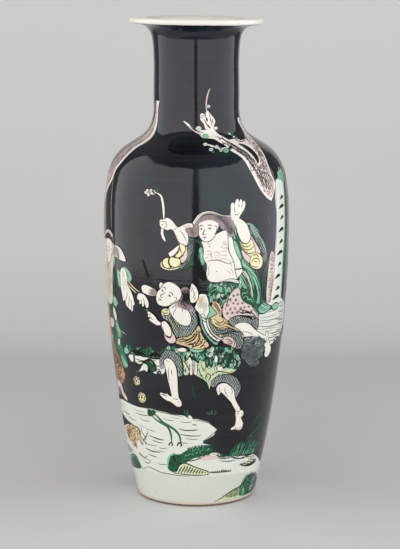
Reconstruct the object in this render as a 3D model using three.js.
// Famille noire baluster vase, as the porcelain stands on the bench: three wheel-thrown sections, luted
// with slip into one tall body. Millimetres, +Z up, origin at the centre of the foot on its resting plane.
import * as THREE from "three";

// Overall sizes
const HEIGHT = 610;
const FACETS = 48;

// Outside of the wall: radius and lean (radius gained for each millimetre of height) at its stations
const FOOT_RADIUS = 75.7;
const FOOT_LEAN = 0.24;
const FLANK_HEIGHT = 190;
const FLANK_RADIUS = 107.9;
const FLANK_LEAN = 0.115;
const BELLY_HEIGHT = 345;
const BELLY_RADIUS = 117.3;
const SHOULDER_HEIGHT = 405;
const SHOULDER_RADIUS = 114;
const SHOULDER_LEAN = -0.18;
const SLOPE_HEIGHT = 445;
const SLOPE_RADIUS = 96;
const SLOPE_LEAN = -1;
const NECK_ROOT_HEIGHT = 470;
const NECK_ROOT_RADIUS = 62;
const NECK_ROOT_LEAN = -0.68;
const NECK_HEIGHT = 515;
const NECK_RADIUS = 54.2;

// Flared mouth and its rolled lip
const FLARE_DEPTH = 32;
const FLARE_RADIUS = 54.8;
const FLARE_LEAN = 0.1;
const MOUTH_RADIUS = 83.9;
const LIP_THICKNESS = 8;
const FLARE_RISE = 12;
const FLARE_REACH = 21;
const FLARE_STEPS = 8;
const LIP_STEPS = 8;

// Wall, floor and turned foot
const WALL_LOW = 7.5;
const WALL_HIGH = 5.5;
const FLOOR_THICKNESS = 9;
const FLOOR_CORNER_RISE = 30;
const FLOOR_CORNER_REACH = 39;
const FLOOR_CORNER_STEPS = 6;
const FOOT_RING_WIDTH = 9;
const FOOT_RECESS = 9;
const FOOT_BEVEL = 1.8;
const RECESS_FILLET = 3;
const RECESS_DOME = 1;

// Luting joints: a bed of slip between two level rims, and the bead it leaves inside
const BODY_SEAM_HEIGHT = 255;
const NECK_SEAM_HEIGHT = 484;
const SLIP_BED = 1.2;
const BEAD_HALF_WIDTH = 6;
const BEAD_PROUD = 2.2;
const BEAD_CLEARANCE = 0.3;
const BEAD_STEPS = 4;

// Colours and finishes of the fired materials
const BLACK_GROUND = { color: 0x17151a, roughness: 0.12, metalness: 0 };
const BARE_SLIP = { color: 0xcfc6b4, roughness: 0.75, metalness: 0 };

// Handle length that makes a cubic follow a quarter of a circle
const QUARTER_HANDLE = 0.5523;

const point = (radius, height) => new THREE.Vector2(radius, height);

// One stretch of the outside wall between two stations, as a cubic with the lean of each at its ends.
function wallStretch(low, high) {
  const third = (high.height - low.height) / 3;
  return new THREE.CubicBezierCurve(
    point(low.radius, low.height),
    point(low.radius + low.lean * third, low.height + third),
    point(high.radius - high.lean * third, high.height - third),
    point(high.radius, high.height),
  );
}

// The outside wall from the top of the foot bevel to the start of the flare, as one chain of stretches.
function outsideStretches() {
  const stations = [
    { height: FOOT_BEVEL, radius: FOOT_RADIUS, lean: FOOT_LEAN, steps: 7 },
    { height: FLANK_HEIGHT, radius: FLANK_RADIUS, lean: FLANK_LEAN, steps: 6 },
    { height: BELLY_HEIGHT, radius: BELLY_RADIUS, lean: 0, steps: 5 },
    { height: SHOULDER_HEIGHT, radius: SHOULDER_RADIUS, lean: SHOULDER_LEAN, steps: 6 },
    { height: SLOPE_HEIGHT, radius: SLOPE_RADIUS, lean: SLOPE_LEAN, steps: 5 },
    { height: NECK_ROOT_HEIGHT, radius: NECK_ROOT_RADIUS, lean: NECK_ROOT_LEAN, steps: 5 },
    { height: NECK_HEIGHT, radius: NECK_RADIUS, lean: 0, steps: 3 },
    { height: HEIGHT - FLARE_DEPTH, radius: FLARE_RADIUS, lean: FLARE_LEAN },
  ];
  return stations.slice(1).map((high, i) => ({
    curve: wallStretch(stations[i], high),
    steps: stations[i].steps,
  }));
}

// Wall thickness at a height: thick where the clay carries the load, thinner towards the neck.
function wallAt(height) {
  const share = THREE.MathUtils.clamp(height / (HEIGHT - FLARE_DEPTH), 0, 1);
  return THREE.MathUtils.lerp(WALL_LOW, WALL_HIGH, share);
}

// A point set in from the wall's outside by the wall's thickness, square to the surface.
function insideOf(curve, t) {
  const outside = curve.getPoint(t);
  const tangent = curve.getTangent(t);
  const thickness = wallAt(outside.y);
  return point(outside.x - tangent.y * thickness, outside.y + tangent.x * thickness);
}

// Outside and inside of the wall as two chains of points, both from the foot up to the flare.
function wallChains() {
  const outside = [];
  const inside = [];
  for (const { curve, steps } of outsideStretches()) {
    const first = outside.length === 0 ? 0 : 1;
    for (let i = first; i <= steps; i++) {
      outside.push(curve.getPoint(i / steps));
      inside.push(insideOf(curve, i / steps));
    }
  }
  return { outside, inside };
}

// The part of a rising chain between two heights, its ends cut level.
function between(chain, low, high) {
  const cut = (a, b, height) => a.clone().lerp(b, (height - a.y) / (b.y - a.y));
  const kept = [];
  for (let i = 0; i + 1 < chain.length; i++) {
    const a = chain[i];
    const b = chain[i + 1];
    if (a.y < low && b.y > low) kept.push(cut(a, b, low));
    if (a.y >= low && a.y <= high) kept.push(a);
    if (a.y < high && b.y > high) kept.push(cut(a, b, high));
  }
  const last = chain[chain.length - 1];
  if (last.y >= low && last.y <= high) kept.push(last);
  return kept;
}

const reversed = (chain) => [...chain].reverse();

// The underside and top of the flare, and the half-round lip that joins them.
function mouthChain(outsideStart, insideStart) {
  const lipRadius = LIP_THICKNESS / 2;
  const lipCentre = point(MOUTH_RADIUS - lipRadius, HEIGHT - lipRadius);
  const underside = new THREE.CubicBezierCurve(
    outsideStart,
    point(outsideStart.x + FLARE_LEAN * FLARE_RISE, outsideStart.y + FLARE_RISE),
    point(lipCentre.x - FLARE_REACH, lipCentre.y - lipRadius),
    point(lipCentre.x, lipCentre.y - lipRadius),
  );
  const top = new THREE.CubicBezierCurve(
    point(lipCentre.x, lipCentre.y + lipRadius),
    point(lipCentre.x - FLARE_REACH, lipCentre.y + lipRadius),
    point(insideStart.x + FLARE_LEAN * FLARE_RISE, insideStart.y + FLARE_RISE + lipRadius),
    insideStart,
  );
  const chain = underside.getPoints(FLARE_STEPS);
  for (let i = 1; i < LIP_STEPS; i++) {
    const angle = -Math.PI / 2 + (i / LIP_STEPS) * Math.PI;
    chain.push(point(lipCentre.x + lipRadius * Math.cos(angle), lipCentre.y + lipRadius * Math.sin(angle)));
  }
  return [...chain, ...top.getPoints(FLARE_STEPS)];
}

// The turned foot from the middle of the recess, round the ring, to the bevel under the wall.
function footChain() {
  const outerEdge = FOOT_RADIUS - FOOT_BEVEL;
  const innerEdge = outerEdge - FOOT_RING_WIDTH;
  const recessWall = innerEdge - FOOT_BEVEL / 2;
  const filletStart = recessWall - RECESS_FILLET;
  const filletMiddle = RECESS_FILLET * (1 - Math.SQRT1_2);
  return [
    point(0, FOOT_RECESS + RECESS_DOME),
    point(filletStart / 2, FOOT_RECESS + RECESS_DOME / 2),
    point(filletStart, FOOT_RECESS),
    point(recessWall - filletMiddle, FOOT_RECESS - filletMiddle),
    point(recessWall, FOOT_RECESS - RECESS_FILLET),
    point(recessWall, FOOT_BEVEL / 2),
    point(innerEdge, 0),
    point(outerEdge, 0),
  ];
}

// The inside of the floor, from where it meets the wall down its rounded corner to the axis.
function floorChain(wallInside) {
  const floorTop = FOOT_RECESS + FLOOR_THICKNESS;
  const start = between(wallInside, floorTop + FLOOR_CORNER_RISE, HEIGHT)[0];
  const drop = FLOOR_CORNER_RISE * QUARTER_HANDLE;
  const end = point(start.x - FLOOR_CORNER_REACH, floorTop);
  const corner = new THREE.CubicBezierCurve(
    start,
    point(start.x - drop * FOOT_LEAN, start.y - drop),
    point(end.x + FLOOR_CORNER_REACH * QUARTER_HANDLE, floorTop),
    end,
  );
  return [...corner.getPoints(FLOOR_CORNER_STEPS), point(0, floorTop)];
}

// Bottom section: foot, floor and the wall up to the body seam.
function lowerBodyProfile({ outside, inside }) {
  const cornerTop = FOOT_RECESS + FLOOR_THICKNESS + FLOOR_CORNER_RISE;
  return [
    ...footChain(),
    ...between(outside, 0, BODY_SEAM_HEIGHT),
    ...reversed(between(inside, cornerTop, BODY_SEAM_HEIGHT)),
    ...floorChain(inside).slice(1),
  ];
}

// Middle section: the wall from the body seam over the shoulder to the root of the neck.
function upperBodyProfile({ outside, inside }) {
  const low = BODY_SEAM_HEIGHT + SLIP_BED;
  const wall = [...between(outside, low, NECK_SEAM_HEIGHT), ...reversed(between(inside, low, NECK_SEAM_HEIGHT))];
  return [...wall, wall[0]];
}

// Top section: the neck with its flared mouth and lip.
function neckProfile({ outside, inside }) {
  const low = NECK_SEAM_HEIGHT + SLIP_BED;
  const outer = between(outside, low, HEIGHT);
  const inner = between(inside, low, HEIGHT);
  const mouth = mouthChain(outer[outer.length - 1], inner[inner.length - 1]);
  return [...outer, ...mouth.slice(1), ...reversed(inner).slice(1), outer[0]];
}

// Radius of a rising chain at one height.
function radiusAt(chain, height) {
  return between(chain, height, HEIGHT)[0].x;
}

// The slip of one joint: its bed between the two rims, and the rounded bead pressed out on the inside.
function slipProfile({ outside, inside }, seam) {
  const top = seam + SLIP_BED;
  const middle = seam + SLIP_BED / 2;
  const profile = [
    point(radiusAt(inside, seam), seam),
    point(radiusAt(outside, seam), seam),
    point(radiusAt(outside, top), top),
    point(radiusAt(inside, top), top),
  ];
  const back = (height) => point(radiusAt(inside, height) - BEAD_CLEARANCE, height);
  profile.push(back(top), back(middle + BEAD_HALF_WIDTH));
  for (let i = 1; i < BEAD_STEPS; i++) {
    const share = i / BEAD_STEPS;
    const height = THREE.MathUtils.lerp(middle + BEAD_HALF_WIDTH, middle - BEAD_HALF_WIDTH, share);
    profile.push(point(back(height).x - BEAD_PROUD * Math.sin(Math.PI * share), height));
  }
  profile.push(back(middle - BEAD_HALF_WIDTH), back(seam));
  return [...profile, profile[0]];
}

// A named ring of fired clay turned from a profile of radius and height.
function turned(name, profile, finish) {
  const mesh = new THREE.Mesh(new THREE.LatheGeometry(profile, FACETS), new THREE.MeshStandardMaterial(finish));
  mesh.name = name;
  return mesh;
}

const wall = wallChains();
const vase = new THREE.Group();
vase.rotation.x = Math.PI / 2;
vase.add(turned("lower_body", lowerBodyProfile(wall), BLACK_GROUND));
vase.add(turned("body_seam_slip", slipProfile(wall, BODY_SEAM_HEIGHT), BARE_SLIP));
vase.add(turned("upper_body", upperBodyProfile(wall), BLACK_GROUND));
vase.add(turned("neck_seam_slip", slipProfile(wall, NECK_SEAM_HEIGHT), BARE_SLIP));
vase.add(turned("neck", neckProfile(wall), BLACK_GROUND));

export default vase;
